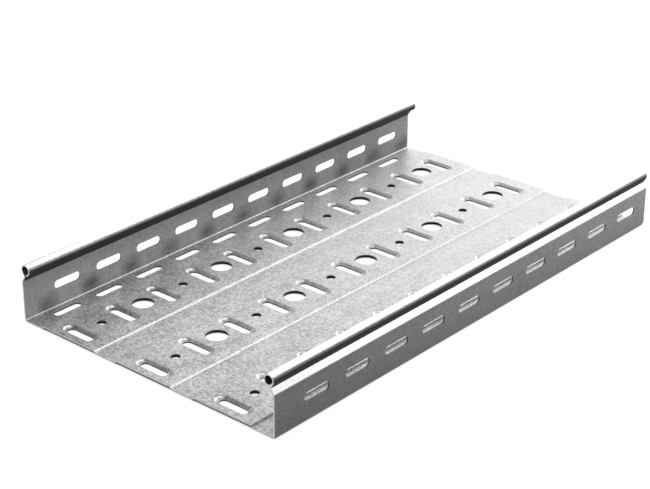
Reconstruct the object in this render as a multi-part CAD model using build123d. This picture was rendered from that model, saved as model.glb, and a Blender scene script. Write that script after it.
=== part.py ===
from build123d import *
import math
import os

# Perforated cable tray: one length of galvanised sheet, punched, pressed and folded into a
# trough with a curled bead along the top of each side wall.
# Millimetres. X runs across the tray, Y along it and Z up. The origin is the middle of the
# underside. The near end is the one at -Y.

os.makedirs("parts", exist_ok=True)

# Overall size
tray_length = 535.0
tray_width = 300.0
sheet_thickness = 1.2

# Raised bands along the floor, which stiffen it. The valleys beside them rest on the ground.
band_count = 3
side_valley_width = 24.5
middle_valley_width = 26.0
band_height = 2.0
band_step_run = 2.5

# Side walls, up to the crease where the sheet leans inward
crease_height = 39.2

# Curled bead along the top of each wall, measured from the crease and the wall's outer face
bead_diameter = 10.5
bead_rise = 12.0
bead_inset = 5.7
neck_rise = 5.6
neck_inset = 4.25
curl_end_angle = 268.0

# Bends, as radii on the inside of the sheet
floor_bend = 1.2
crease_bend = 0.8
neck_bend = 0.5
band_bend = 0.9

# The punched pattern repeats along the tray. Its first places are from the near end.
pattern_pitch = 50.0
first_cross_slot = 13.5
first_wall_slot = 50.0
far_margin = 6.0

# Slots across each band, each at the bottom of a pressed dish
cross_slot_length = 30.0
cross_slot_width = 8.0
dish_length = 39.5
dish_width = 13.5
dish_depth = 2.0

# Round holes between the cross slots, small and large by turns
small_hole_diameter = 8.5
large_hole_diameter = 20.5

# Bolting slots along the tray, through the walls and through the floor beside them
edge_slot_length = 30.0
edge_slot_width = 8.0
wall_slot_height = 22.3
floor_slot_inset = 12.6

# Short flats that stand for the curves in the bands, where the holes are many
slot_end_flat_count = 6
small_hole_flat_count = 12
large_hole_flat_count = 20

# Sizes that follow from those above
half_sheet = sheet_thickness / 2
near_end = -tray_length / 2
wall_middle_x = tray_width / 2 - half_sheet
valleys = 2 * side_valley_width + (band_count - 1) * middle_valley_width
band_width = (tray_width - valleys) / band_count
band_spacing = band_width + middle_valley_width
band_centres = [(n - (band_count - 1) / 2) * band_spacing for n in range(band_count)]
band_top = band_height + sheet_thickness


def pattern_places(first, half_length):
    """Places along Y from the first one on, as many as leave the far margin whole."""
    room = tray_length - first - half_length - far_margin
    return [near_end + first + n * pattern_pitch for n in range(math.floor(room / pattern_pitch) + 1)]


def mirrored(points):
    """The same points on the left-hand side, in the opposite order."""
    return [Vector(-p.X, p.Y) for p in reversed(points)]


def band_corners(centre):
    """Corners of the sheet's middle line over one raised band, from left to right."""
    inner = (band_width - band_step_run) / 2
    outer = (band_width + band_step_run) / 2
    low = half_sheet
    high = half_sheet + band_height
    return [
        Vector(centre - outer, low),
        Vector(centre - inner, high),
        Vector(centre + inner, high),
        Vector(centre + outer, low),
    ]


def section_face():
    """Cross-section of the whole sheet, drawn along its middle line and given its thickness.

    Each wall ends in a straight neck that leaves the crease's lean and meets its bead at a
    tangent. The bead turns outward first, then over the top and down the inner side.
    """
    radius = bead_diameter / 2 - half_sheet
    bead = Vector(tray_width / 2 - bead_inset, crease_height + bead_rise)
    neck = Vector(tray_width / 2 - neck_inset, crease_height + neck_rise)
    to_neck = neck - bead
    start = math.atan2(to_neck.Y, to_neck.X) + math.acos(radius / to_neck.length)
    curl_start = bead + Vector(math.cos(start), math.sin(start)) * radius
    wall = [
        Vector(wall_middle_x, half_sheet),
        Vector(wall_middle_x, crease_height),
        neck,
        curl_start,
    ]
    corners = mirrored(wall)
    for centre in band_centres:
        corners += band_corners(centre)
    corners += wall
    wall_bends = [bend + half_sheet for bend in (floor_bend, crease_bend, neck_bend)]
    floor_bends = [band_bend + half_sheet] * (4 * band_count)
    start_angle = math.degrees(start)
    curl = curl_end_angle - start_angle
    with BuildLine() as middle:
        FilletPolyline(*corners, radius=[*reversed(wall_bends), *floor_bends, *wall_bends])
        CenterArc(bead, radius, start_angle, curl)
        CenterArc((-bead.X, bead.Y), radius, 180 - start_angle, -curl)
    return make_face(offset(middle.wires()[0], half_sheet, side=Side.BOTH, closed=True))


def half_turn(centre_x, radius, start):
    """Points of the flats round one end of a slot, from an angle in degrees on."""
    angles = [math.radians(start + 180 * n / slot_end_flat_count) for n in range(slot_end_flat_count + 1)]
    return [(centre_x + radius * math.cos(a), radius * math.sin(a)) for a in angles]


def slot_corners(length, width, height):
    """Corners, at a height, of a slot's outline across the tray."""
    reach = (length - width) / 2
    points = half_turn(reach, width / 2, -90) + half_turn(-reach, width / 2, 90)
    return [(x, y, height) for x, y in points]


def flat_face(corners):
    """Face inside a closed row of corners."""
    return Face(Wire.make_polygon(corners))


def tapered(slot_height, rim_height, rim_margin):
    """Solid from a cross slot's outline up to its dish's, with that one widened by a margin.

    The two outlines turn alike, so that one flat side fits between each two corners.
    """
    low = slot_corners(cross_slot_length, cross_slot_width, slot_height)
    high = slot_corners(dish_length + 2 * rim_margin, dish_width + 2 * rim_margin, rim_height)
    sides = [flat_face([low[n - 1], low[n], high[n], high[n - 1]]) for n in range(len(low))]
    return Solid(Shell([flat_face(low), flat_face(high), *sides]))


def upright(outline):
    """Cutter of the outline through the whole thickness of the floor."""
    return extrude(Plane.XY.offset(-sheet_thickness) * outline, band_top + 2 * sheet_thickness)


def copies(shape, places):
    """The same shape once at each place."""
    return [shape.moved(Location(place)) for place in places]


# The folded sheet, before punching
sheet = extrude(Plane.XZ * section_face(), tray_length / 2, both=True)

# Pressed dishes, whose walls thin towards the slot
cross_places = pattern_places(first_cross_slot, dish_width / 2)
dish_floor = band_top - dish_depth
wall_angle = math.atan2(dish_depth, (dish_width - cross_slot_width) / 2)
dish = tapered(dish_floor - sheet_thickness, band_height, sheet_thickness * math.tan(wall_angle / 2))
hollow = tapered(dish_floor, band_top, 0)
dish_spots = [(x, y, 0) for x in band_centres for y in cross_places]
sheet += copies(dish, dish_spots)
sheet -= copies(hollow, dish_spots)
slot_outline = flat_face(slot_corners(cross_slot_length, cross_slot_width, 0))
sheet -= copies(upright(slot_outline), dish_spots)

# Round holes between the dishes
hole_places = [y + pattern_pitch / 2 for y in cross_places[:-1]]
for diameter, flats, places in (
    (small_hole_diameter, small_hole_flat_count, hole_places[0::2]),
    (large_hole_diameter, large_hole_flat_count, hole_places[1::2]),
):
    hole = upright(RegularPolygon(diameter / 2, flats))
    sheet -= copies(hole, [(x, y, 0) for x in band_centres for y in places])

# Slots along both edges of the floor, level with the round holes
floor_slot = upright(Sketch() + SlotOverall(edge_slot_length, edge_slot_width, rotation=90))
floor_slot_x = tray_width / 2 - floor_slot_inset
floor_slot_places = pattern_places(first_cross_slot + pattern_pitch / 2, edge_slot_length / 2)
sheet -= copies(floor_slot, [(x, y, 0) for x in (-floor_slot_x, floor_slot_x) for y in floor_slot_places])

# Slots through both walls at once
wall_slot_outline = Plane.YZ * (Sketch() + SlotOverall(edge_slot_length, edge_slot_width))
wall_slot = extrude(wall_slot_outline, tray_width / 2 + sheet_thickness, both=True)
wall_slot_places = pattern_places(first_wall_slot, edge_slot_length / 2)
sheet -= copies(wall_slot, [(0, y, wall_slot_height) for y in wall_slot_places])

export_step(sheet, "parts/perforated_tray.step")
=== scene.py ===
"""Looks of a perforated cable tray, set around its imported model.

The sheet is made here the way the real one is: a flat blank is punched, pressed and folded.
First comes the middle surface of the folded sheet, and then its thickness, with slightly
broken edges. Sizes are in metres. X runs across the tray, Y along it and Z up.
"""
import logging
import math
from collections import defaultdict
from dataclasses import dataclass, field
from enum import Enum
from typing import Sequence

import bpy
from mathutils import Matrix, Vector
from mathutils.geometry import delaunay_2d_cdt


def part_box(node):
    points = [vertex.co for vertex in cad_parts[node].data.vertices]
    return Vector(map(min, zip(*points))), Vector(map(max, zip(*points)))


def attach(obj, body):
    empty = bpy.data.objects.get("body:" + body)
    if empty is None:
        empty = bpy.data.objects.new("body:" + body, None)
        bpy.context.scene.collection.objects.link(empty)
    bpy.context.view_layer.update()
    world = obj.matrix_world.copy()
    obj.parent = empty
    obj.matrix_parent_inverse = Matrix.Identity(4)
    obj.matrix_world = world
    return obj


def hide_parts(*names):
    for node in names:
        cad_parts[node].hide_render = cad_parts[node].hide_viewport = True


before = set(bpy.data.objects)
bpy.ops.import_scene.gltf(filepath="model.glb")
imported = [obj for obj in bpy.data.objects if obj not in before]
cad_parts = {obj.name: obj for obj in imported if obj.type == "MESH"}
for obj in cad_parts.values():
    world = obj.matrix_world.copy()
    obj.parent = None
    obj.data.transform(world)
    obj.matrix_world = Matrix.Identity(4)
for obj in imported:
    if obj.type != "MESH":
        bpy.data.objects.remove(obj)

TRAY_NODE = "perforated_tray"
BODY = "root"
QUARTER = math.pi / 2
SAME_PLACE = 1e-6
MILLIMETRES = 1000

log = logging.getLogger("cable_tray")

Colour = tuple[float, float, float]
Span = tuple[float, float]
Ingredient = bpy.types.NodeSocket | float | tuple[float, ...]


class Cut(Enum):
    """The places of the materials on the piece."""

    SHEET = 0
    PUNCHED = 1
    SHEARED = 2


class Side(Enum):
    """The two side walls, each with the sign of its X."""

    LEFT = -1
    RIGHT = 1


def left_of(direction: Vector) -> Vector:
    """The direction a quarter turn to the left, in a flat drawing."""
    return Vector((-direction.y, direction.x))


def turned(direction: Vector, angle: float) -> Vector:
    """The direction turned to the left by an angle, in a flat drawing."""
    return direction * math.cos(angle) + left_of(direction) * math.sin(angle)


@dataclass(frozen=True)
class Station:
    """A point of the section's middle line, drawn as X and Z, with its normal.

    The normal points to the trough's side of the sheet.
    """

    point: Vector
    normal: Vector

    def mirrored(self) -> "Station":
        """The same station on the other side of the tray."""
        return Station(Vector((-self.point.x, self.point.y)), Vector((-self.normal.x, self.normal.y)))

    def at(self, y: float) -> tuple[Vector, Vector]:
        """The station's point and normal in space, at a place along the tray."""
        place = Vector((self.point.x, y, self.point.y))
        return place, Vector((self.normal.x, 0, self.normal.y))


def folded(corners: Sequence[Vector], radii: Sequence[float], step: float) -> list[Station]:
    """Rounds the corners between straight runs of the section.

    Args:
        corners: Corners in the order of the section, with its two ends.
        radii: Bend radius of the middle line at each corner between the ends.
        step: Largest turn between two stations of a bend, as an angle.

    Returns:
        The stations of every bend, first to last, without the two ends.
    """
    stations = []
    for before, corner, after, radius in zip(corners, corners[1:], corners[2:], radii):
        arriving = (corner - before).normalized()
        leaving = (after - corner).normalized()
        turn = math.atan2(arriving.cross(leaving), arriving.dot(leaving))
        hand = math.copysign(1, turn)
        start = corner - arriving * radius * math.tan(abs(turn) / 2)
        centre = start + left_of(arriving) * radius * hand
        count = max(2, math.ceil(abs(turn) / step))
        for n in range(count + 1):
            normal = turned(left_of(arriving), turn * n / count)
            stations.append(Station(centre - normal * radius * hand, normal))
    return stations


@dataclass(frozen=True)
class Sheet:
    """The plain sheet that the tray is folded from."""

    length: float
    width: float
    thickness: float = 0.0012
    edge_break: float = 0.00012
    bend_step: float = math.radians(11)

    @property
    def half(self) -> float:
        """Half the sheet's thickness."""
        return self.thickness / 2

    @property
    def near_end(self) -> float:
        """Y of the near end."""
        return -self.length / 2

    @property
    def last_row(self) -> float:
        """Distance from the middle of the tray beyond which the only cuts are its two ends."""
        return self.length / 2 - 2 * self.edge_break


@dataclass(frozen=True)
class BandedFloor:
    """The floor, with its raised bands and the valleys beside them."""

    sheet: Sheet
    band_count: int = 3
    side_valley: float = 0.0245
    middle_valley: float = 0.026
    band_height: float = 0.002
    step_run: float = 0.0025
    inner_bend: float = 0.0009

    @property
    def band_width(self) -> float:
        """Width of a band, between the middles of its two steps."""
        valleys = 2 * self.side_valley + (self.band_count - 1) * self.middle_valley
        return (self.sheet.width - valleys) / self.band_count

    @property
    def band_centres(self) -> list[float]:
        """X of the middle of each band."""
        spacing = self.band_width + self.middle_valley
        return [(n - (self.band_count - 1) / 2) * spacing for n in range(self.band_count)]

    @property
    def band_level(self) -> float:
        """Height of a band's middle surface."""
        return self.sheet.half + self.band_height

    def corners(self) -> list[Vector]:
        """Draws the section's middle line across the whole floor.

        Returns:
            The corners of the bands' steps, from left to right.
        """
        inner = (self.band_width - self.step_run) / 2
        outer = (self.band_width + self.step_run) / 2
        row = []
        for x in self.band_centres:
            row += [Vector((x - outer, self.sheet.half)), Vector((x - inner, self.band_level))]
            row += [Vector((x + inner, self.band_level)), Vector((x + outer, self.sheet.half))]
        return row

    def radii(self) -> list[float]:
        """Bend radius of the middle line at each of the floor's corners."""
        return [self.inner_bend + self.sheet.half] * len(self.corners())


@dataclass(frozen=True)
class BeadedWall:
    """A side wall with the curled bead along its top, drawn on the right-hand side."""

    sheet: Sheet
    crease_height: float = 0.0392
    bead_diameter: float = 0.0105
    bead_rise: float = 0.012
    bead_inset: float = 0.0057
    neck_rise: float = 0.0056
    neck_inset: float = 0.00425
    curl_end: float = math.radians(268)
    floor_bend: float = 0.0012
    crease_bend: float = 0.0008
    neck_bend: float = 0.0005

    @property
    def curl_radius(self) -> float:
        """Radius of the bead's middle line."""
        return self.bead_diameter / 2 - self.sheet.half

    @property
    def bead_centre(self) -> Vector:
        """Centre of the bead."""
        return Vector((self.sheet.width / 2 - self.bead_inset, self.crease_height + self.bead_rise))

    @property
    def neck(self) -> Vector:
        """Corner where the leaning sheet turns out into the bead."""
        return Vector((self.sheet.width / 2 - self.neck_inset, self.crease_height + self.neck_rise))

    @property
    def curl_start(self) -> float:
        """Angle on the bead at which the sheet meets it at a tangent."""
        to_neck = self.neck - self.bead_centre
        return math.atan2(to_neck.y, to_neck.x) + math.acos(self.curl_radius / to_neck.length)

    def on_bead(self, angle: float) -> Station:
        """The bead's station at an angle."""
        outward = Vector((math.cos(angle), math.sin(angle)))
        return Station(self.bead_centre + outward * self.curl_radius, -outward)

    def corners(self) -> list[Vector]:
        """Draws the wall's middle line.

        Returns:
            Its corners, from the floor up to the start of the bead.
        """
        middle = self.sheet.width / 2 - self.sheet.half
        foot = Vector((middle, self.sheet.half))
        crease = Vector((middle, self.crease_height))
        return [foot, crease, self.neck, self.on_bead(self.curl_start).point]

    def radii(self) -> list[float]:
        """Bend radius of the middle line at the foot, the crease and the neck."""
        return [bend + self.sheet.half for bend in (self.floor_bend, self.crease_bend, self.neck_bend)]

    def bead(self) -> list[Station]:
        """Draws the bead's middle line.

        Returns:
            Its stations, up to the broken edge of its tip.
        """
        end = self.curl_end - self.sheet.edge_break / self.curl_radius
        count = math.ceil((end - self.curl_start) / self.sheet.bend_step)
        step = (end - self.curl_start) / count
        return [self.on_bead(self.curl_start + n * step) for n in range(count + 1)]


@dataclass(frozen=True)
class Outline:
    """A rounded opening in the flat of the sheet: a slot, or a round hole with no straight part."""

    radius: float
    half_across: float = 0.0
    half_along: float = 0.0
    quarter_steps: int = 8

    def ring(self, margin: float) -> list[tuple[Vector, Vector]]:
        """Points round the opening, widened by a margin.

        Args:
            margin: How far outside the opening's edge the points lie.

        Returns:
            Each point from the opening's centre, with its outward direction.
        """
        ring: list[tuple[Vector, Vector]] = []
        for quarter in range(4):
            core = Vector((
                math.copysign(self.half_across, math.cos((quarter + 0.5) * QUARTER)),
                math.copysign(self.half_along, math.sin((quarter + 0.5) * QUARTER)),
            ))
            for n in range(self.quarter_steps + 1):
                angle = (quarter + n / self.quarter_steps) * QUARTER
                outward = Vector((math.cos(angle), math.sin(angle)))
                point = core + outward * (self.radius + margin)
                if not ring or (point - ring[-1][0]).length > SAME_PLACE:
                    ring.append((point, outward))
        if (ring[0][0] - ring[-1][0]).length < SAME_PLACE:
            ring.pop()
        return ring


@dataclass(frozen=True)
class LinePoint:
    """A point of a line round an opening, with the drop and the slope of the sheet there.

    The place is drawn in the flat, from the opening's centre, and so is the direction outward.
    """

    place: Vector
    outward: Vector
    drop: float = 0.0
    slope: float = 0.0


@dataclass(frozen=True)
class Dish:
    """The dish that is pressed round a cross slot.

    Its wall is straight between a bend at its foot and a rounder one at its rim. At the ends
    of the slot a flat ledge lies between the slot and the wall.
    """

    depth: float = 0.002
    wall_run: float = 0.00275
    ledge: float = 0.002
    foot_radius: float = 0.0009
    rim_radius: float = 0.0018
    steps: int = 11

    @property
    def slope(self) -> float:
        """Angle of the wall from the flat."""
        return math.atan2(self.depth, self.wall_run)

    def lines(self, outline: Outline, sheet: Sheet) -> list[list[LinePoint]]:
        """Lines round the dish, from the slot's edge out to the flat of the band.

        Args:
            outline: The slot at the bottom of the dish.
            sheet: The sheet that is pressed.

        Returns:
            The points of each line, in the order of the slot's outline.
        """
        walls = [self._wall(place, outward, sheet) for place, outward in outline.ring(0)]
        return [list(line) for line in zip(*walls)]

    def _wall(self, place: Vector, outward: Vector, sheet: Sheet) -> list[LinePoint]:
        """Draws the points of every line at one place of the slot's outline.

        Args:
            place: The place, from the slot's centre.
            outward: Direction out of the slot there.
            sheet: The sheet that is pressed.

        Returns:
            One point for each line, from the slot outward.
        """
        ledge = self.ledge * abs(outward.x)
        foot = ledge + sheet.half * math.tan(self.slope / 2)
        rim = foot + self.wall_run
        reach = Vector((math.copysign(self.ledge, place.x), 0)) + outward * self.wall_run
        run = ledge + self.wall_run
        _, tilt = self._profile(0, foot, rim)
        first = sheet.half * math.sin(tilt) + sheet.edge_break * math.cos(tilt)
        last = rim + self.rim_radius * math.tan(self.slope / 2)
        points = []
        for n in range(self.steps + 1):
            margin = first + (last - first) * n / self.steps
            drop, tilt = self._profile(margin, foot, rim)
            points.append(LinePoint(place + reach * (margin / run), outward, drop, tilt))
        return points

    def _profile(self, margin: float, foot: float, rim: float) -> tuple[float, float]:
        """The sheet's drop and tilt at a margin from the slot.

        Args:
            margin: Distance from the slot's edge.
            foot: The margin at which the ledge would meet the wall, if it weren't rounded.
            rim: The margin at which the wall would meet the band's flat.

        Returns:
            How far the sheet lies below the flat of the band, and its tilt there.
        """
        half_turn = math.tan(self.slope / 2)
        up = (margin - foot) / self.foot_radius + half_turn
        down = (rim - margin) / self.rim_radius + half_turn
        if up <= 0:
            return self.depth, 0.0
        if down <= 0:
            return 0.0, 0.0
        if up < math.sin(self.slope):
            tilt = math.asin(up)
            return self.depth - self.foot_radius * (1 - math.cos(tilt)), tilt
        if down < math.sin(self.slope):
            tilt = math.asin(down)
            return self.rim_radius * (1 - math.cos(tilt)), tilt
        return (rim - margin) * math.tan(self.slope), self.slope


@dataclass(frozen=True)
class Punching:
    """One opening at its place: a point of the section and a distance along the tray."""

    outline: Outline
    section_point: Vector
    y: float
    dish: Dish | None = None

    def lines(self, sheet: Sheet) -> list[list[LinePoint]]:
        """Draws the lines round the opening.

        Args:
            sheet: The sheet that is punched.

        Returns:
            The lines from the opening's edge outward: one, or those of its dish.
        """
        if self.dish is not None:
            return self.dish.lines(self.outline, sheet)
        return [[LinePoint(*point) for point in self.outline.ring(sheet.edge_break)]]


@dataclass(frozen=True)
class PunchPattern:
    """Everything that is punched through the sheet, repeated along the tray."""

    sheet: Sheet
    floor: BandedFloor
    pitch: float = 0.05
    first_cross_slot: float = 0.0135
    first_wall_slot: float = 0.05
    far_margin: float = 0.006
    wall_slot_height: float = 0.0223
    floor_slot_inset: float = 0.0126
    dish: Dish = Dish()
    cross_slot: Outline = Outline(radius=0.004, half_across=0.011)
    edge_slot: Outline = Outline(radius=0.004, half_along=0.011)
    small_hole: Outline = Outline(radius=0.00425)
    large_hole: Outline = Outline(radius=0.01025, quarter_steps=12)

    def places(self, first: float, half_length: float) -> list[float]:
        """Y of each repeat, from the first one on, as many as leave the far margin whole."""
        room = self.sheet.length - first - half_length - self.far_margin
        return [self.sheet.near_end + first + n * self.pitch for n in range(int(room / self.pitch) + 1)]

    def along_bands(self) -> list[Punching]:
        """Places the openings in the bands.

        Returns:
            Dished cross slots, with small and large round holes between them by turns.
        """
        slots = self.places(self.first_cross_slot, self.cross_slot.radius + self.dish.wall_run)
        holes = [y + self.pitch / 2 for y in slots[:-1]]
        row = []
        for x in self.floor.band_centres:
            point = Vector((x, self.floor.band_level))
            row += [Punching(self.cross_slot, point, y, self.dish) for y in slots]
            row += [Punching(self.small_hole, point, y) for y in holes[0::2]]
            row += [Punching(self.large_hole, point, y) for y in holes[1::2]]
        return row

    def along_edges(self) -> list[Punching]:
        """Places the bolting slots along both edges.

        Returns:
            Slots through the walls, and through the floor beside them.
        """
        half_length = self.edge_slot.half_along + self.edge_slot.radius
        on_walls = self.places(self.first_wall_slot, half_length)
        on_floor = self.places(self.first_cross_slot + self.pitch / 2, half_length)
        wall_x = self.sheet.width / 2 - self.sheet.half
        floor_x = self.sheet.width / 2 - self.floor_slot_inset
        row = []
        for side in Side:
            wall_point = Vector((side.value * wall_x, self.wall_slot_height))
            floor_point = Vector((side.value * floor_x, self.sheet.half))
            row += [Punching(self.edge_slot, wall_point, y) for y in on_walls]
            row += [Punching(self.edge_slot, floor_point, y) for y in on_floor]
        return row


@dataclass
class Skin:
    """The sheet's middle surface, and the closed mesh that its thickness makes of it."""

    sheet: Sheet
    points: list[Vector] = field(default_factory=list)
    normals: list[Vector] = field(default_factory=list)
    faces: list[tuple[int, ...]] = field(default_factory=list)

    def add(self, point: Vector, normal: Vector) -> int:
        """Adds a point to the middle surface.

        Args:
            point: The new point.
            normal: The surface's normal there.

        Returns:
            The point's number.
        """
        self.points.append(point)
        self.normals.append(normal)
        return len(self.points) - 1

    def bridge(self, row: Sequence[int], next_row: Sequence[int]) -> None:
        """Fills the strip between two rows of points that have as many points each."""
        for a, b, c, d in zip(row, next_row, next_row[1:], row[1:]):
            self.faces.append((a, b, c, d))

    def rim(self) -> dict[int, tuple[int, Vector]]:
        """Finds the free edges of the surface.

        Returns:
            For each point of a free edge, the next point of that edge and the direction out
            of the sheet there.
        """
        edges = {(a, b) for face in self.faces for a, b in zip(face, face[1:] + face[:1])}
        free = [(a, b) for a, b in edges if (b, a) not in edges]
        outward: dict[int, list[Vector]] = defaultdict(list)
        for a, b in free:
            along = self.points[b] - self.points[a]
            for n in (a, b):
                outward[n].append(along.cross(self.normals[n]).normalized())
        following = dict(free)
        return {
            n: (following[n], (first + second) / (1 + first.dot(second)))
            for n, (first, second) in outward.items()
        }

    def thicken(self, name: str) -> bpy.types.Mesh:
        """Makes the closed mesh, with both faces of the sheet and its broken edges.

        Args:
            name: Name of the new mesh.

        Returns:
            The mesh, whose materials are those that Cut names.
        """
        half, edge = self.sheet.half, self.sheet.edge_break
        count = len(self.points)
        rim = self.rim()
        cut = {n: 2 * count + 2 * place for place, n in enumerate(rim)}
        spots = [p + n * half for p, n in zip(self.points, self.normals)]
        spots += [p - n * half for p, n in zip(self.points, self.normals)]
        for n, (_, outward) in rim.items():
            middle = self.points[n] + outward * edge
            spots.append(middle + self.normals[n] * (half - edge))
            spots.append(middle - self.normals[n] * (half - edge))
        faces, shading = [], []
        for face in self.faces:
            faces.append(face)
            shading += [self.normals[n] for n in face]
            faces.append(tuple(n + count for n in reversed(face)))
            shading += [-self.normals[n] for n in reversed(face)]
        kinds = [Cut.SHEET.value] * len(faces)
        for a, (b, _) in rim.items():
            kind = Cut.SHEARED if abs(self.points[a].y) > self.sheet.last_row else Cut.PUNCHED
            kinds += [kind.value] * 3
            lines = [(a, b), (cut[a], cut[b]), (cut[a] + 1, cut[b] + 1), (a + count, b + count)]
            for lean, (upper, lower) in zip((1, 0, -1), zip(lines, lines[1:])):
                faces.append((upper[1], upper[0], lower[0], lower[1]))
                ends = [(rim[n][1] + self.normals[n] * lean).normalized() for n in (a, b)]
                shading += [ends[1], ends[0], ends[0], ends[1]]
        mesh = bpy.data.meshes.new(name)
        mesh.from_pydata(spots, [], faces)
        mesh.polygons.foreach_set("use_smooth", [True] * len(faces))
        mesh.polygons.foreach_set("material_index", kinds)
        mesh.normals_split_custom_set(shading)
        return mesh


@dataclass(frozen=True)
class TraySheet:
    """The whole tray: one sheet, punched, pressed and folded."""

    sheet: Sheet
    floor: BandedFloor
    wall: BeadedWall
    pattern: PunchPattern
    row_spacing: float = 0.0125

    def stations(self) -> list[Station]:
        """Draws the whole section.

        Returns:
            Its stations, from the left bead's tip to the right one's.
        """
        wall = self.wall.corners()
        left = [Vector((-p.x, p.y)) for p in reversed(wall)]
        corners = left + self.floor.corners() + wall
        radii = self.wall.radii()
        radii = [*reversed(radii), *self.floor.radii(), *radii]
        bead = self.wall.bead()
        left_bead = [station.mirrored() for station in reversed(bead)]
        return left_bead + folded(corners, radii, self.sheet.bend_step) + bead

    def rows(self) -> list[float]:
        """Places the lines across the tray, which stop short of its ends by the broken edge.

        Returns:
            Y of each line, from the near end to the far one.
        """
        start = self.sheet.near_end + self.sheet.edge_break
        count = math.ceil(self.sheet.length / self.row_spacing)
        return [start - 2 * start * n / count for n in range(count + 1)]

    def build(self) -> bpy.types.Object:
        """Builds the tray's mesh and its object.

        Returns:
            The object, which has no materials yet.
        """
        skin = Skin(self.sheet)
        rows = self.rows()
        stations = self.stations()
        grid = [[skin.add(*station.at(y)) for y in rows] for station in stations]
        punchings = self.pattern.along_bands() + self.pattern.along_edges()
        for a, b, row, next_row in zip(stations, stations[1:], grid, grid[1:]):
            inside = self._between(a, b, punchings)
            if inside:
                self._panel(skin, a, b, row, next_row, inside)
            else:
                skin.bridge(row, next_row)
        tray = bpy.data.objects.new("tray_sheet", skin.thicken("tray_sheet"))
        bpy.context.scene.collection.objects.link(tray)
        return tray

    def _between(self, a: Station, b: Station, punchings: Sequence[Punching]) -> list[Punching]:
        """Finds the openings in the straight run between two stations.

        Args:
            a: Station at the start of the run.
            b: Station at its end.
            punchings: All the openings of the tray.

        Returns:
            The openings whose place lies on the run.
        """
        run = b.point - a.point
        found = []
        for punching in punchings:
            offset = punching.section_point - a.point
            share = offset.dot(run) / run.length_squared
            if 0 < share < 1 and (offset - run * share).length < self.sheet.half:
                found.append(punching)
        return found

    def _panel(
        self,
        skin: Skin,
        a: Station,
        b: Station,
        row: Sequence[int],
        next_row: Sequence[int],
        punchings: Sequence[Punching],
    ) -> None:
        """Fills a flat run of the section round its openings.

        Args:
            skin: The surface that is added to.
            a: Station at the start of the flat run.
            b: Station at its end.
            row: Points along the tray at the first station.
            next_row: Points along the tray at the second station.
            punchings: The openings in the run.
        """
        across = (b.point - a.point).normalized()
        numbers = list(row) + list(reversed(next_row))
        loops = [numbers.copy()]
        width = (b.point - a.point).length
        flat = {n: Vector((0, skin.points[n].y)) for n in row}
        flat |= {n: Vector((width, skin.points[n].y)) for n in next_row}
        for punching in punchings:
            opening = self._opening(skin, a, across, punching)
            flat |= opening
            loops.append(list(opening))
            numbers += opening
        order = {number: place for place, number in enumerate(numbers)}
        edges = [(order[p], order[q]) for loop in loops for p, q in zip(loop, loop[1:] + loop[:1])]
        plan = [flat[number] * MILLIMETRES for number in numbers]
        _, _, triangles, sources, _, _ = delaunay_2d_cdt(plan, edges, [], 0, SAME_PLACE, True)
        loop_of = {number: place for place, loop in enumerate(loops) for number in loop}
        for triangle in triangles:
            face = tuple(numbers[sources[n][0]] for n in triangle)
            touched = {loop_of[n] for n in face}
            if len(touched) > 1 or touched == {0}:
                skin.faces.append(face)

    @staticmethod
    def _opening(skin: Skin, a: Station, across: Vector, punching: Punching) -> dict[int, Vector]:
        """Adds the lines round an opening, and the dish between them where it has one.

        Args:
            skin: The surface that is added to.
            a: Station at the start of the flat run.
            across: Direction of the run in the section.
            punching: The opening.

        Returns:
            The points of the outermost line, each with its place in the flat run.
        """
        centre = Vector(((punching.section_point - a.point).dot(across), punching.y))
        loop: dict[int, Vector] = {}
        for line in punching.lines(skin.sheet):
            inner = list(loop)
            loop = {}
            for point in line:
                spot = centre + point.place
                section = a.point + across * spot.x - a.normal * point.drop
                tilt = math.sin(point.slope)
                lean = across * (-point.outward.x * tilt) + a.normal * math.cos(point.slope)
                normal = Vector((lean.x, -point.outward.y * tilt, lean.y))
                loop[skin.add(Vector((section.x, spot.y, section.y)), normal)] = spot
            if inner:
                outer = list(loop)
                skin.bridge(inner + inner[:1], outer + outer[:1])
        return loop


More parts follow.
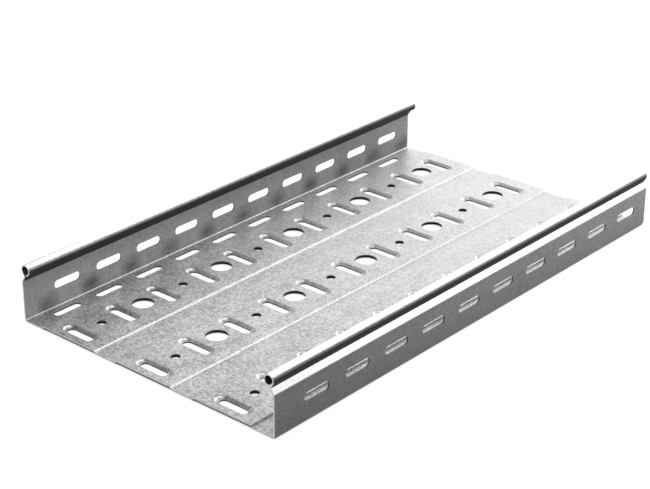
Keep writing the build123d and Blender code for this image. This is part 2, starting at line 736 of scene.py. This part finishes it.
class Recipe:
    """A material's nodes, added one by one and led to its shader."""

    def __init__(self, name: str) -> None:
        """Starts a material with its shader and its place in the piece.

        Args:
            name: Name of the new material.
        """
        self.material = bpy.data.materials.new(name)
        self.material.use_nodes = True
        self.tree = self.material.node_tree
        self.shader = self.tree.nodes["Principled BSDF"]
        place = self.tree.nodes.new("ShaderNodeTexCoord")
        self.place = place.outputs["Object"]
        self.normal = place.outputs["Normal"]

    def node(self, kind: str, **inputs: Ingredient) -> bpy.types.Node:
        """Adds a node.

        Args:
            kind: Type of the node.
            inputs: What its inputs get, by their names with underscores for spaces.

        Returns:
            The node.
        """
        node = self.tree.nodes.new(kind)
        for name, source in inputs.items():
            self.pour(node.inputs[name.replace("_", " ")], source)
        return node

    def pour(self, socket: bpy.types.NodeSocket, source: Ingredient) -> None:
        """Fills an input of a node.

        Args:
            socket: The input.
            source: The output that is led to it, or the value that it gets.
        """
        if isinstance(source, bpy.types.NodeSocket):
            self.tree.links.new(source, socket)
        else:
            socket.default_value = source

    def sum(self, operation: str, *terms: Ingredient) -> bpy.types.NodeSocket:
        """Works out one step of arithmetic.

        Args:
            operation: Name of the step.
            terms: Its one, two or three terms.

        Returns:
            The result.
        """
        node = self.tree.nodes.new("ShaderNodeMath")
        node.operation = operation
        for socket, term in zip(node.inputs, terms):
            self.pour(socket, term)
        return node.outputs[0]

    def product(self, *factors: bpy.types.NodeSocket) -> bpy.types.NodeSocket:
        """Multiplies values.

        Args:
            factors: The values.

        Returns:
            The product of them all.
        """
        result = factors[0]
        for factor in factors[1:]:
            result = self.sum("MULTIPLY", result, factor)
        return result

    def parts(self, vector: bpy.types.NodeSocket) -> tuple[bpy.types.NodeSocket, ...]:
        """The three parts of a vector or colour."""
        return tuple(self.node("ShaderNodeSeparateXYZ", Vector=vector).outputs)

    def stretched(self, scale: tuple[float, float, float]) -> bpy.types.NodeSocket:
        """The place in the piece, counted in its own number of steps per metre on each axis."""
        return self.node("ShaderNodeMapping", Vector=self.place, Scale=scale).outputs[0]

    def cells(self, per_metre: float) -> tuple[bpy.types.NodeSocket, ...]:
        """Three random values for each of many small cells."""
        texture = self.node("ShaderNodeTexVoronoi", Vector=self.place, Scale=per_metre)
        return self.parts(texture.outputs["Color"])

    def noise(self, vector: bpy.types.NodeSocket, per_metre: float, detail: float) -> bpy.types.NodeSocket:
        """Soft noise about the value of a half."""
        texture = self.node("ShaderNodeTexNoise", Vector=vector, Scale=per_metre, Detail=detail)
        return texture.outputs["Fac"]

    def ranged(
        self, value: bpy.types.NodeSocket, span: Span, to_low: Ingredient, to_high: Ingredient
    ) -> bpy.types.NodeSocket:
        """Moves a value from one range to another, and keeps it within that one.

        Args:
            value: The value.
            span: The range that it comes from.
            to_low: What the first end of that range becomes.
            to_high: What its second end becomes.

        Returns:
            The moved value.
        """
        node = self.node("ShaderNodeMapRange", Value=value, From_Min=span[0], From_Max=span[1])
        self.pour(node.inputs["To Min"], to_low)
        self.pour(node.inputs["To Max"], to_high)
        return node.outputs[0]

    def grey(self, value: bpy.types.NodeSocket, dark: Colour, light: Colour) -> bpy.types.NodeSocket:
        """Turns a value into a colour between two others.

        Args:
            value: A value from nought to one.
            dark: The colour for nought.
            light: The colour for one.

        Returns:
            The colour.
        """
        ramp = self.node("ShaderNodeValToRGB", Fac=value)
        ramp.color_ramp.elements[0].color = (*dark, 1)
        ramp.color_ramp.elements[1].color = (*light, 1)
        return ramp.outputs["Color"]

    def blended(
        self, share: bpy.types.NodeSocket, plain: Ingredient, other: Colour
    ) -> bpy.types.NodeSocket:
        """Blends a colour into another one.

        Args:
            share: How much of the other colour there is, from nought to one.
            plain: The first colour.
            other: The other colour.

        Returns:
            The blended colour.
        """
        mix = self.tree.nodes.new("ShaderNodeMix")
        mix.data_type = "RGBA"
        for socket in mix.inputs:
            if socket.name == "Factor" and socket.type == "VALUE":
                self.pour(socket, share)
            elif socket.type == "RGBA":
                self.pour(socket, plain if socket.name == "A" else (*other, 1))
        return next(socket for socket in mix.outputs if socket.type == "RGBA")

    def bumps(
        self, height: bpy.types.NodeSocket, distance: float, **inputs: Ingredient
    ) -> bpy.types.NodeSocket:
        """A normal that follows small heights, with the distance for a height of one."""
        return self.node("ShaderNodeBump", Height=height, Distance=distance, **inputs).outputs[0]


@dataclass(frozen=True)
class GalvanisedFinish:
    """Zinc-coated sheet: fine speckle, soft clouds, faint roll lines, and painted shade low inside
    the walls between the slots.

    The zinc is burnished on the tops of the beads and where the sheet was folded, with painted
    highlights on their upward faces. Painted shade lies in the crevices under the beads and along
    the last step to the right. The walls carry painted light on their inner faces and painted shade
    near and low down on their outer faces, and the floor is lighter towards the far right as a
    painted gradient of light. Places are in metres. A level is the upward part of a face's normal:
    one on a face that looks up, and nought on an upright one.
    """

    crease_height: float
    neck_height: float
    name: str = "galvanised_sheet"
    dark: Colour = (0.03, 0.03, 0.03)
    light: Colour = (0.62, 0.62, 0.623)
    # Lighter colour of burnished zinc, which is also a painted highlight on upward faces.
    burnish_and_highlight_colour: Colour = (0.75, 0.75, 0.755)
    metallic: float = 0.22
    burnished_metallic: float = 0.85
    roughness: Span = (0.32, 0.46)
    burnished_roughness: float = 0.22
    # Painted shade in the crevices and on the last step: darker, rougher and less metallic there.
    crevice_shade_roughness: float = 0.85
    crevice_shade_depth: float = 0.97

    grain_per_metre: float = 560.0
    cloud_per_metre: float = 30.0
    roll_lines: tuple[float, float, float] = (260.0, 2.5, 260.0)
    grain_share: float = 0.6
    cloud_share: float = 0.6
    line_share: float = 0.25
    tone_span: Span = (0.35, 1.1)
    near_end: float = -0.25
    far_end: float = 0.25
    # Painted gradient of light on the floor: lighter and calmer towards the far right.
    light_gradient_by_x: float = 0.6
    near_shaded_tones: Span = (0.2, 0.74)
    far_lit_tones: Span = (0.47, 0.68)
    upright_tones: Span = (0.4, 0.64)
    flat_levels: Span = (0.2, 0.9)
    dent_per_metre: float = 14.0
    dent_depth: float = 0.0006
    grain_relief: float = 0.00004

    fold_levels: Span = (0.90, 0.82)
    fold_least_levels: Span = (0.5, 0.6)
    fold_across: Span = (-0.5, -0.2)
    fold_start: Span = (0.0015, 0.0021)
    fold_end: Span = (0.0034, 0.0038)
    # Burnish with painted highlight on the folds, weaker towards the far end.
    fold_burnish_and_highlight: float = 0.55
    far_fold_highlight_share: float = 0.5
    foot_x: Span = (0.14, 0.145)
    last_line_x: Span = (0.118, 0.12)
    last_line_z: Span = (0.0021, 0.0026)
    # Depth of the painted shade along the last step to the right.
    last_line_shade: float = 0.8
    crease_blend: float = 0.0004
    neck_blend: float = 0.0012
    bead_lowering: float = 0.45
    bead_levels: Span = (0.05, 0.3)
    crevice_levels: Span = (0.1, -0.4)
    wear_per_metre: float = 300.0
    wear_span: Span = (0.3, 0.6)
    most_worn: float = 0.9

    inner_facing: Span = (-0.1, -0.07)
    outer_facing: Span = (0.13, 0.145)
    # Painted light on the walls' inner faces and painted shade near and low on their outer faces.
    inner_painted_light: Span = (1.85, 0.95)
    outer_painted_shade: Span = (0.6, 1.0)
    outer_foot_painted_shade: float = 0.75
    outer_foot_shade_height: float = 0.03
    # Painted shade low on the walls between the slots, standing in for their darker reflection.
    reflection_shade_pitch: float = 0.05
    reflection_shade_start: float = -0.2405
    reflection_shade_height: float = 0.0085
    reflection_shade_reach: float = 0.013
    reflection_shade_depth: float = 0.85
    reflection_shade_wave: Span = (-0.4, 1.0)
    patches_per_metre: float = 45.0
    patch_span: Span = (0.35, 0.6)
    faintest_patch: float = 0.7

    def material(self) -> bpy.types.Material:
        """Makes the material.

        Returns:
            The finish of both faces of the sheet.
        """
        recipe = Recipe(self.name)
        grain, gloss, relief = recipe.cells(self.grain_per_metre)
        # Painted shade under the beads and along the last step to the right.
        crevice_shade = self._painted_crevice_shade(recipe)
        unshaded = recipe.ranged(crevice_shade, (0, 1), 1, 1 - self.crevice_shade_depth)
        plain = recipe.product(self._speckle_and_painted_light(recipe, grain), self._painted_wall_light(recipe), unshaded)
        # Burnished zinc with painted highlight: lighter, more metallic and smoother.
        burnish_and_highlight = self._burnish_and_highlight(recipe)
        colour = recipe.blended(burnish_and_highlight, recipe.grey(plain, self.dark, self.light), self.burnish_and_highlight_colour)
        metal = recipe.ranged(burnish_and_highlight, (0, 1), self.metallic, self.burnished_metallic)
        rough = recipe.ranged(gloss, (0, 1), *self.roughness)
        rough = recipe.ranged(burnish_and_highlight, (0, 1), rough, self.burnished_roughness)
        rough = recipe.ranged(crevice_shade, (0, 1), rough, self.crevice_shade_roughness)
        dents = recipe.noise(recipe.place, self.dent_per_metre, detail=2)
        dents = recipe.bumps(dents, self.dent_depth)
        inputs = recipe.shader.inputs
        recipe.pour(inputs["Base Color"], colour)
        recipe.pour(inputs["Metallic"], recipe.product(metal, unshaded))
        recipe.pour(inputs["Roughness"], rough)
        recipe.pour(inputs["Normal"], recipe.bumps(relief, self.grain_relief, Normal=dents))
        return recipe.material

    def _speckle_and_painted_light(self, recipe: Recipe, grain: bpy.types.NodeSocket) -> bpy.types.NodeSocket:
        """The tone of the sheet, with a painted gradient of light.

        Args:
            recipe: The material's nodes.
            grain: A random value for each grain of the zinc.

        Returns:
            A tone, which varies less on upright faces, and towards the far right varies less and is
            lighter as painted light.
        """
        cloud = recipe.noise(recipe.place, self.cloud_per_metre, detail=5)
        lines = recipe.noise(recipe.stretched(self.roll_lines), 1, detail=2)
        cloud = recipe.sum("MULTIPLY", cloud, self.cloud_share)
        tone = recipe.sum("MULTIPLY_ADD", grain, self.grain_share, cloud)
        tone = recipe.sum("MULTIPLY_ADD", lines, self.line_share, tone)
        _, _, level = recipe.parts(recipe.normal)
        flat = recipe.ranged(recipe.sum("ABSOLUTE", level), self.flat_levels, 0, 1)
        x, y, _ = recipe.parts(recipe.place)
        # Direction of the painted gradient of light, towards the far right.
        far = recipe.sum("MULTIPLY_ADD", x, self.light_gradient_by_x, y)
        ends = []
        for upright, *on_floor in zip(self.upright_tones, self.near_shaded_tones, self.far_lit_tones):
            ends.append(recipe.ranged(flat, (0, 1), upright, self._along(recipe, far, *on_floor)))
        return recipe.ranged(tone, self.tone_span, *ends)

    def _along(
        self, recipe: Recipe, place: bpy.types.NodeSocket, near: float, far: float
    ) -> bpy.types.NodeSocket:
        """A value that changes from the near end of the tray to the far one."""
        return recipe.ranged(place, (self.near_end, self.far_end), near, far)

    def _bead_level(self, recipe: Recipe) -> bpy.types.NodeSocket:
        """The level of a face, counted lower on the beads, so that their sides get less painted highlight
        and more painted shade.

        Args:
            recipe: The material's nodes.

        Returns:
            The level, less the lowering on the beads.
        """
        _, _, level = recipe.parts(recipe.normal)
        _, _, z = recipe.parts(recipe.place)
        blend = (self.neck_height, self.neck_height + self.neck_blend)
        return recipe.sum("SUBTRACT", level, recipe.ranged(z, blend, 0, self.bead_lowering))

    def _above_crease(self, recipe: Recipe) -> bpy.types.NodeSocket:
        """Tells the necks and beads of the walls from the rest of the sheet.

        Args:
            recipe: The material's nodes.

        Returns:
            One above the creases of the walls, and none below.
        """
        _, _, z = recipe.parts(recipe.place)
        blend = (self.crease_height - self.crease_blend, self.crease_height + self.crease_blend)
        return recipe.ranged(z, blend, 0, 1)

    def _crests(self, recipe: Recipe) -> bpy.types.NodeSocket:
        """Finds the folds that run along the tray at the tops of the bands' steps.

        Args:
            recipe: The material's nodes.

        Returns:
            One on the upper half of each step and at the ends of the dishes, and none elsewhere.
        """
        across, along, level = recipe.parts(recipe.normal)
        crosswise = recipe.sum("SUBTRACT", recipe.sum("ABSOLUTE", across), recipe.sum("ABSOLUTE", along))
        _, _, z = recipe.parts(recipe.place)
        return recipe.product(
            recipe.ranged(level, self.fold_levels, 0, 1),
            recipe.ranged(level, self.fold_least_levels, 0, 1),
            recipe.ranged(crosswise, self.fold_across, 0, 1),
            recipe.ranged(z, self.fold_start, 0, 1),
            recipe.ranged(z, self.fold_end, 1, 0),
        )

    def _painted_crevice_shade(self, recipe: Recipe) -> bpy.types.NodeSocket:
        """How much painted shade there is, under the beads and on the last step to the right.

        Args:
            recipe: The material's nodes.

        Returns:
            One in the crevices, nearly one along the last step, and none elsewhere.
        """
        below = recipe.ranged(self._bead_level(recipe), self.crevice_levels, 0, 1)
        under_beads = recipe.product(below, self._above_crease(recipe))
        x, _, z = recipe.parts(recipe.place)
        last_step = recipe.product(
            self._crests(recipe),
            recipe.ranged(x, self.last_line_x, 0, 1),
            recipe.ranged(z, self.last_line_z, 0, self.last_line_shade),
        )
        return recipe.sum("MAXIMUM", under_beads, last_step)

    def _burnish_and_highlight(self, recipe: Recipe) -> bpy.types.NodeSocket:
        """How burnished the zinc is, where the rolls rubbed the folds and the tops of the beads, with
        painted highlight: only upward faces get it, the steps less towards the far end and the last step
        none.

        Args:
            recipe: The material's nodes.

        Returns:
            Nearly one on top of the beads, less on folds along the tray, and none on flats.
        """
        x, y, _ = recipe.parts(recipe.place)
        _, _, level = recipe.parts(recipe.normal)
        foot = recipe.ranged(recipe.sum("ABSOLUTE", x), self.foot_x, 0, self.fold_burnish_and_highlight)
        foot = recipe.product(foot, recipe.ranged(level, self.fold_levels, 0, 1))
        steps = self._along(recipe, y, self.fold_burnish_and_highlight, self.far_fold_highlight_share * self.fold_burnish_and_highlight)
        steps = recipe.product(steps, recipe.ranged(x, self.last_line_x, 1, 0))
        folds = recipe.sum("MAXIMUM", foot, recipe.product(self._crests(recipe), steps))
        burnish_and_highlight_places = recipe.sum("MAXIMUM", folds, self._above_crease(recipe))
        upper = recipe.ranged(self._bead_level(recipe), self.bead_levels, 0, 1)
        wear = recipe.noise(recipe.place, self.wear_per_metre, detail=3)
        worn = recipe.ranged(wear, self.wear_span, self.most_worn, 1)
        return recipe.product(burnish_and_highlight_places, upper, worn)

    def _painted_reflection_shade(self, recipe: Recipe) -> bpy.types.NodeSocket:
        """Painted shade low on the walls, between each two slots, standing in for the darker reflection
        there.

        Args:
            recipe: The material's nodes.

        Returns:
            How much of the tone stays there.
        """
        _, y, z = recipe.parts(recipe.place)
        turn = recipe.sum("SUBTRACT", y, self.reflection_shade_start)
        wave = recipe.sum("COSINE", recipe.sum("MULTIPLY", turn, math.tau / self.reflection_shade_pitch))
        height = recipe.sum("ABSOLUTE", recipe.sum("SUBTRACT", z, self.reflection_shade_height))
        patches = recipe.noise(recipe.place, self.patches_per_metre, detail=3)
        reflection_shade = recipe.product(
            recipe.ranged(wave, self.reflection_shade_wave, 0, self.reflection_shade_depth),
            recipe.ranged(height, (0, self.reflection_shade_reach), 1, 0),
            recipe.ranged(patches, self.patch_span, self.faintest_patch, 1),
        )
        return recipe.ranged(reflection_shade, (0, 1), 1, 0)

    def _painted_wall_light(self, recipe: Recipe) -> bpy.types.NodeSocket:
        """Painted light and shade on the walls, as a factor on their tone beside that of the floor.

        Args:
            recipe: The material's nodes.

        Returns:
            More than one on the walls' inner faces as painted light, apart from their far end and the
            painted shade between the slots, and less than one near and low down on the outer faces as
            painted shade.
        """
        x, y, z = recipe.parts(recipe.place)
        inward, _, _ = recipe.parts(recipe.normal)
        facing = recipe.sum("MULTIPLY", x, inward)
        inner = recipe.product(self._along(recipe, y, *self.inner_painted_light), self._painted_reflection_shade(recipe))
        outer = recipe.product(
            self._along(recipe, y, *self.outer_painted_shade),
            recipe.ranged(z, (0, self.outer_foot_shade_height), self.outer_foot_painted_shade, 1),
        )
        shade = recipe.ranged(facing, self.outer_facing, 1, outer)
        return recipe.ranged(facing, self.inner_facing, inner, shade)


@dataclass(frozen=True)
class CutEdgeFinish:
    """Bare steel where the sheet was cut, with the fine lines of the tool. The colours given for the
    punched edges carry painted shade, and the light ones for the sheared ends partly painted light.
    """

    name: str
    dark: Colour
    light: Colour
    metallic: float
    roughness: Span = (0.35, 0.6)
    lines_per_metre: float = 2200.0
    line_span: Span = (0.3, 0.7)
    line_depth: float = 0.00003

    def material(self) -> bpy.types.Material:
        """Makes the material.

        Returns:
            The finish of one kind of cut edge.
        """
        recipe = Recipe(self.name)
        recipe.shader.inputs["Metallic"].default_value = self.metallic
        lines = recipe.noise(recipe.place, self.lines_per_metre, detail=3)
        recipe.pour(recipe.shader.inputs["Base Color"], recipe.grey(lines, self.dark, self.light))
        rough = recipe.ranged(lines, self.line_span, *self.roughness)
        recipe.pour(recipe.shader.inputs["Roughness"], rough)
        recipe.pour(recipe.shader.inputs["Normal"], recipe.bumps(lines, self.line_depth))
        return recipe.material


@dataclass(frozen=True)
class Softbox:
    """A soft rectangular lamp, placed by its direction from the tray.

    The direction is in degrees: the azimuth turns from the tray's far end to its right.
    """

    name: str
    azimuth: float
    elevation: float
    width: float
    height: float
    radiance: float
    distance: float = 1.8

    def build(self) -> None:
        """Adds the lamp, turned to the tray."""
        azimuth = math.radians(self.azimuth)
        elevation = math.radians(self.elevation)
        away = Vector((
            math.sin(azimuth) * math.cos(elevation),
            math.cos(azimuth) * math.cos(elevation),
            math.sin(elevation),
        ))
        lamp = bpy.data.lights.new(self.name, "AREA")
        lamp.shape = "RECTANGLE"
        lamp.size = self.width
        lamp.size_y = self.height
        lamp.energy = self.radiance * math.pi * self.width * self.height
        holder = bpy.data.objects.new(self.name, lamp)
        holder.location = away * self.distance
        holder.rotation_euler = away.to_track_quat("Z", "Y").to_euler()
        holder.visible_camera = False
        bpy.context.scene.collection.objects.link(holder)


@dataclass(frozen=True)
class Studio:
    """The pale floor, the soft lamps, the world and the camera."""

    picture_width: float = 650.0
    focal_pixels: float = 1773.2
    sensor_width: float = 36.0
    eye: tuple[float, float, float] = (0.9629, -1.1326, 0.7325)
    pitch: float = math.radians(25.41)
    yaw: float = math.radians(41.32)
    floor_half_size: float = 12.0
    floor_gap: float = 0.0002
    floor_colour: float = 0.2
    floor_roughness: float = 0.9
    floor_glow: float = 0.86
    shade_reach: float = 0.012
    shade_span: Span = (0.22, 0.42)
    world_colour: float = 0.05
    farthest_seen: float = 100.0

    def softboxes(self) -> list[Softbox]:
        """Lays out the lamps.

        Returns:
            A row of large lamps round the back and the left, and two high ones.
        """
        return [
            Softbox("back_softbox", 0, 25, width=0.75, height=1.3, radiance=4.8),
            Softbox("right_softbox", 37, 27, width=1.4, height=1.2, radiance=2.0),
            Softbox("left_softbox", -37, 25, width=1.4, height=1.3, radiance=2.8),
            Softbox("side_softbox", -95, 42, width=1.4, height=1.3, radiance=1.9),
            Softbox("high_softbox", 0, 57, width=2.0, height=0.7, radiance=2.6),
            Softbox("top_softbox", 100, 80, width=1.0, height=1.0, radiance=4.0),
        ]

    def build(self) -> None:
        """Builds the whole studio."""
        self._camera()
        self._floor()
        self._world()
        for softbox in self.softboxes():
            softbox.build()
        bpy.context.scene.view_settings.view_transform = "Standard"

    def _camera(self) -> None:
        """Adds the camera at the photograph's place and angle."""
        lens = bpy.data.cameras.new("camera")
        lens.sensor_width = self.sensor_width
        lens.lens = self.focal_pixels * self.sensor_width / self.picture_width
        lens.clip_end = self.farthest_seen
        camera = bpy.data.objects.new("camera", lens)
        camera.location = self.eye
        camera.rotation_euler = (QUARTER - self.pitch, 0, self.yaw)
        bpy.context.scene.collection.objects.link(camera)
        bpy.context.scene.camera = camera

    def _floor(self) -> None:
        """Adds the floor, which glows white and keeps the tray's shadow, with painted shade in the gaps
        under the tray.
        """
        half = self.floor_half_size
        mesh = bpy.data.meshes.new("studio_floor")
        corners = [(-half, -half), (half, -half), (half, half), (-half, half)]
        mesh.from_pydata([(x, y, -self.floor_gap) for x, y in corners], [], [(0, 1, 2, 3)])
        recipe = Recipe("studio_floor")
        shader = recipe.shader
        shader.inputs["Base Color"].default_value = (*[self.floor_colour] * 3, 1)
        shader.inputs["Roughness"].default_value = self.floor_roughness
        shader.inputs["Specular IOR Level"].default_value = 0.0
        shader.inputs["Emission Color"].default_value = (1, 1, 1, 1)
        recipe.pour(shader.inputs["Emission Strength"], self._glow(recipe))
        mesh.materials.append(recipe.material)
        floor = bpy.data.objects.new("studio_floor", mesh)
        bpy.context.scene.collection.objects.link(floor)

    def _world(self) -> None:
        """Sets an even, faint white world."""
        world = bpy.data.worlds.new("studio_world")
        world.use_nodes = True
        background = world.node_tree.nodes["Background"]
        background.inputs["Color"].default_value = (1, 1, 1, 1)
        background.inputs["Strength"].default_value = self.world_colour
        bpy.context.scene.world = world

    def _glow(self, recipe: Recipe) -> bpy.types.NodeSocket:
        """The floor's own white, which goes out only in the narrow gaps under the tray, dimmed there by
        ambient occlusion as painted shade.

        Args:
            recipe: The floor's nodes.

        Returns:
            A strength for rays from the camera, mirrors and glass, and none for the others.
        """
        path = recipe.node("ShaderNodeLightPath").outputs
        seen = path["Is Camera Ray"]
        for other in ("Is Glossy Ray", "Is Transmission Ray"):
            seen = recipe.sum("MAXIMUM", seen, path[other])
        # Painted shade: the glow dims where ambient occlusion finds the gaps under the tray.
        gaps = recipe.node("ShaderNodeAmbientOcclusion", Distance=self.shade_reach)
        glow_with_painted_shade = recipe.ranged(gaps.outputs["AO"], self.shade_span, 0, self.floor_glow)
        return recipe.sum("MULTIPLY", seen, glow_with_painted_shade)


def main() -> None:
    """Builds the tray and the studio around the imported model."""
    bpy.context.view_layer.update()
    low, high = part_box(TRAY_NODE)
    sheet = Sheet(length=high.y - low.y, width=high.x - low.x)
    floor = BandedFloor(sheet)
    wall = BeadedWall(sheet)
    tray = TraySheet(sheet, floor, wall, PunchPattern(sheet, floor))
    Studio().build()
    piece = tray.build()
    for finish in (
        GalvanisedFinish(wall.crease_height, wall.neck.y),
        # Near-black: painted shade on the inner faces of the holes.
        CutEdgeFinish("punched_edge_painted_shade", (0.04, 0.04, 0.04), (0.12, 0.12, 0.12), metallic=0.1),
        # Bright sheared steel, made lighter still as painted light on the unlit end faces.
        CutEdgeFinish("sheared_end_and_painted_light", (0.55, 0.55, 0.55), (0.80, 0.80, 0.805), metallic=0.85),
    ):
        piece.data.materials.append(finish.material())
    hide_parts(TRAY_NODE)
    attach(piece, BODY)
    log.info("%s: %d faces", piece.name, len(piece.data.polygons))


if __name__ == "__main__":
    logging.basicConfig(level=logging.INFO, format="%(name)s %(message)s")
    main()
